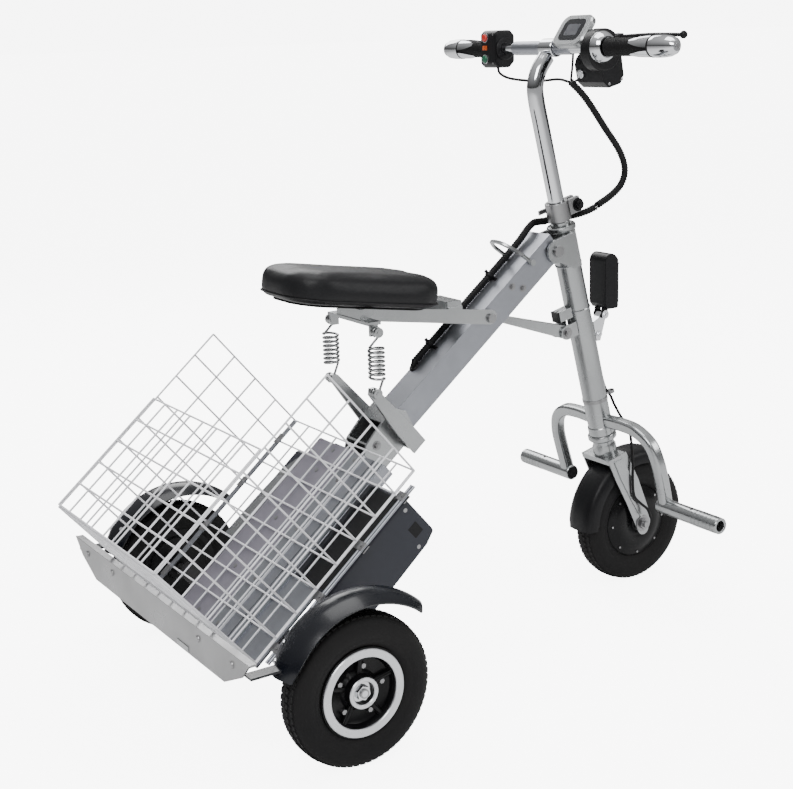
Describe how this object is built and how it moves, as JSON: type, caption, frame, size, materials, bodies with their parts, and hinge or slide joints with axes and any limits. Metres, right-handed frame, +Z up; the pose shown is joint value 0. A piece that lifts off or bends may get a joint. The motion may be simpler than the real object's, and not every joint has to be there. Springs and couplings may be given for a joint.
{
  "type": "mobility scooter",
  "caption": "Folding mobility scooter with a sloping main beam, sprung seat, front drive wheel, steering column with handlebar, footrests and a wire basket over the rear axle.",
  "frame": {"origin": "centre of the footprint on the ground, under the middle of the scooter", "axes": "+X forward, +Y to the rider's left, +Z up"},
  "size_m": [1.2724, 0.7616, 1.1479],
  "materials": {
    "tyre_rubber": "matt with a block tread",
    "black_paint": "satin black",
    "steel": "plated",
    "black_sheet": "matt black",
    "satin_aluminium": "satin",
    "silver": "satin silver",
    "battery_plastic": "fine grain",
    "mudguard_plastic": "gloss",
    "leatherette": "soft satin",
    "white_wire": "coated",
    "black_plastic": "satin",
    "cable_black": "spiral wrap",
    "lens": "clear over bright reflector",
    "chrome": "polished",
    "grip_rubber": "matt",
    "red_plastic": "gloss",
    "green_plastic": "gloss",
    "orange_plastic": "gloss",
    "dark_window": "glossy dark window"
  },
  "bodies": {
    "frame": {"main_beam": "satin_aluminium", "beam_foot_bracket": "silver", "spring_bracket": "steel", "deck_frame": "satin_aluminium", "battery_case": "battery_plastic", "rear_cross_member": "satin_aluminium", "rear_axle": "steel", "rear_fender_left": "mudguard_plastic", "rear_fender_right": "mudguard_plastic", "column_pivot_bolt": "steel", "seat_pivot_bolt": "steel", "basket_base": "white_wire", "basket_left_wall": "white_wire", "basket_right_wall": "white_wire", "basket_rear_wall": "white_wire", "loom_beam": "cable_black", "spring_left": "steel", "spring_right": "steel"},
    "basket_lid": {"basket_lid": "white_wire"},
    "rear_wheel_left": {"rear_tyre_left": "tyre_rubber", "rear_rim_left": "black_paint"},
    "rear_wheel_right": {"rear_tyre_right": "tyre_rubber", "rear_rim_right": "black_paint"},
    "seat": {"seat_frame": "silver", "seat_base_plate": "black_sheet", "seat_cushion": "leatherette"},
    "bail": {"lock_bail": "steel"},
    "column": {"head_tube": "silver", "footrest_left": "silver", "footrest_right": "silver", "headlight_bracket": "chrome", "front_cable": "cable_black"},
    "headlight": {"headlight_case": "black_plastic", "headlight_lens": "lens"},
    "brace": {"brace_link": "silver"},
    "steering": {"fork": "silver", "front_fender": "black_plastic", "front_axle": "steel", "stem_clamp": "steel", "loom_collar": "cable_black", "motor_cable": "cable_black"},
    "quick_release": {"quick_release_lever": "steel"},
    "front_wheel": {"front_tyre": "tyre_rubber", "front_motor_hub": "black_paint"},
    "stem": {"stem_tube": "chrome", "handlebar": "chrome", "grip_left": "grip_rubber", "end_cap_left": "chrome", "switch_box": "black_plastic", "display_pod": "chrome", "display_window": "dark_window", "brake_housing": "black_plastic", "loom_stem": "cable_black"},
    "throttle": {"throttle_grip": "grip_rubber", "end_cap_right": "chrome"},
    "brake_lever": {"brake_lever": "black_plastic"},
    "key": {"key_barrel": "chrome"},
    "red_button": {"red_button": "red_plastic"},
    "green_button": {"green_button": "green_plastic"},
    "orange_switch": {"orange_switch": "orange_plastic"}
  },
  "joints": [
    {"name": "rear_wheel_left_spin", "type": "hinge", "parent": "frame", "child": "rear_wheel_left", "pos_m": [-0.36639, 0.3428, 0.1275], "axis": [0, 1, 0], "continuous": true},
    {"name": "rear_wheel_right_spin", "type": "hinge", "parent": "frame", "child": "rear_wheel_right", "pos_m": [-0.36639, -0.3428, 0.1275], "axis": [0, 1, 0], "continuous": true},
    {"name": "column_fold", "type": "hinge", "parent": "frame", "child": "column", "pos_m": [0.29276, 0, 0.7153], "axis": [0, 1, 0], "range_deg": [0, 50]},
    {"name": "brace_swing", "type": "hinge", "parent": "column", "child": "brace", "pos_m": [0.33092, 0, 0.54965], "axis": [0, 1, 0], "range_deg": [-95, 0]},
    {"name": "seat_swing", "type": "hinge", "parent": "frame", "child": "seat", "pos_m": [0.13341, 0, 0.6084], "axis": [0, 1, 0], "range_deg": [0, 30], "deforming": ["spring_left", "spring_right"]},
    {"name": "bail_swing", "type": "hinge", "parent": "frame", "child": "bail", "pos_m": [0.23318, 0, 0.70041], "axis": [0, 1, 0], "range_deg": [-40, 30]},
    {"name": "lid_swing", "type": "hinge", "parent": "frame", "child": "basket_lid", "pos_m": [-0.63739, 0, 0.3416], "axis": [0, -1, 0], "range_deg": [0, 100]},
    {"name": "headlight_tilt", "type": "hinge", "parent": "column", "child": "headlight", "pos_m": [0.43161, 0, 0.572], "axis": [0, 1, 0], "range_deg": [-15, 15]},
    {"name": "steering_turn", "type": "hinge", "parent": "column", "child": "steering", "pos_m": [0.48319, 0, 0.12137], "axis": [-0.2336, 0, 0.9723], "range_deg": [-45, 45], "deforming": ["loom_collar", "motor_cable"]},
    {"name": "front_wheel_spin", "type": "hinge", "parent": "steering", "child": "front_wheel", "pos_m": [0.50871, 0, 0.1275], "axis": [0, 1, 0], "continuous": true},
    {"name": "quick_release_swing", "type": "hinge", "parent": "steering", "child": "quick_release", "pos_m": [0.36229, 0.023, 0.79579], "axis": [0.2336, 0, -0.9723], "range_deg": [0, 110]},
    {"name": "stem_height", "type": "slide", "parent": "steering", "child": "stem", "axis": [-0.2336, 0, 0.9723], "range_m": [-0.1, 0.04], "deforming": ["loom_stem"]},
    {"name": "throttle_twist", "type": "hinge", "parent": "stem", "child": "throttle", "pos_m": [0.30823, -0.22, 1.08928], "axis": [0, 1, 0], "range_deg": [0, 70], "stiffness_Nm_per_rad": 0.3},
    {"name": "brake_lever_pull", "type": "hinge", "parent": "stem", "child": "brake_lever", "pos_m": [0.3498, -0.14, 1.10461], "axis": [0.2336, 0, -0.9723], "range_deg": [0, 8], "stiffness_Nm_per_rad": 2},
    {"name": "key_turn", "type": "hinge", "parent": "stem", "child": "key", "pos_m": [0.31508, -0.084, 1.04362], "axis": [0.9723, 0, 0.2336], "range_deg": [0, 90]},
    {"name": "red_button_press", "type": "slide", "parent": "stem", "child": "red_button", "axis": [1, 0, 0], "range_m": [0, 0.002], "stiffness_N_per_m": 400},
    {"name": "green_button_press", "type": "slide", "parent": "stem", "child": "green_button", "axis": [1, 0, 0], "range_m": [0, 0.002], "stiffness_N_per_m": 400},
    {"name": "orange_switch_slide", "type": "slide", "parent": "stem", "child": "orange_switch", "axis": [0, 1, 0], "range_m": [-0.004, 0.004]}
  ],
  "couplings": [
    {"joint": "brace_swing", "follows": "column_fold", "ratio": -1.88}
  ]
}
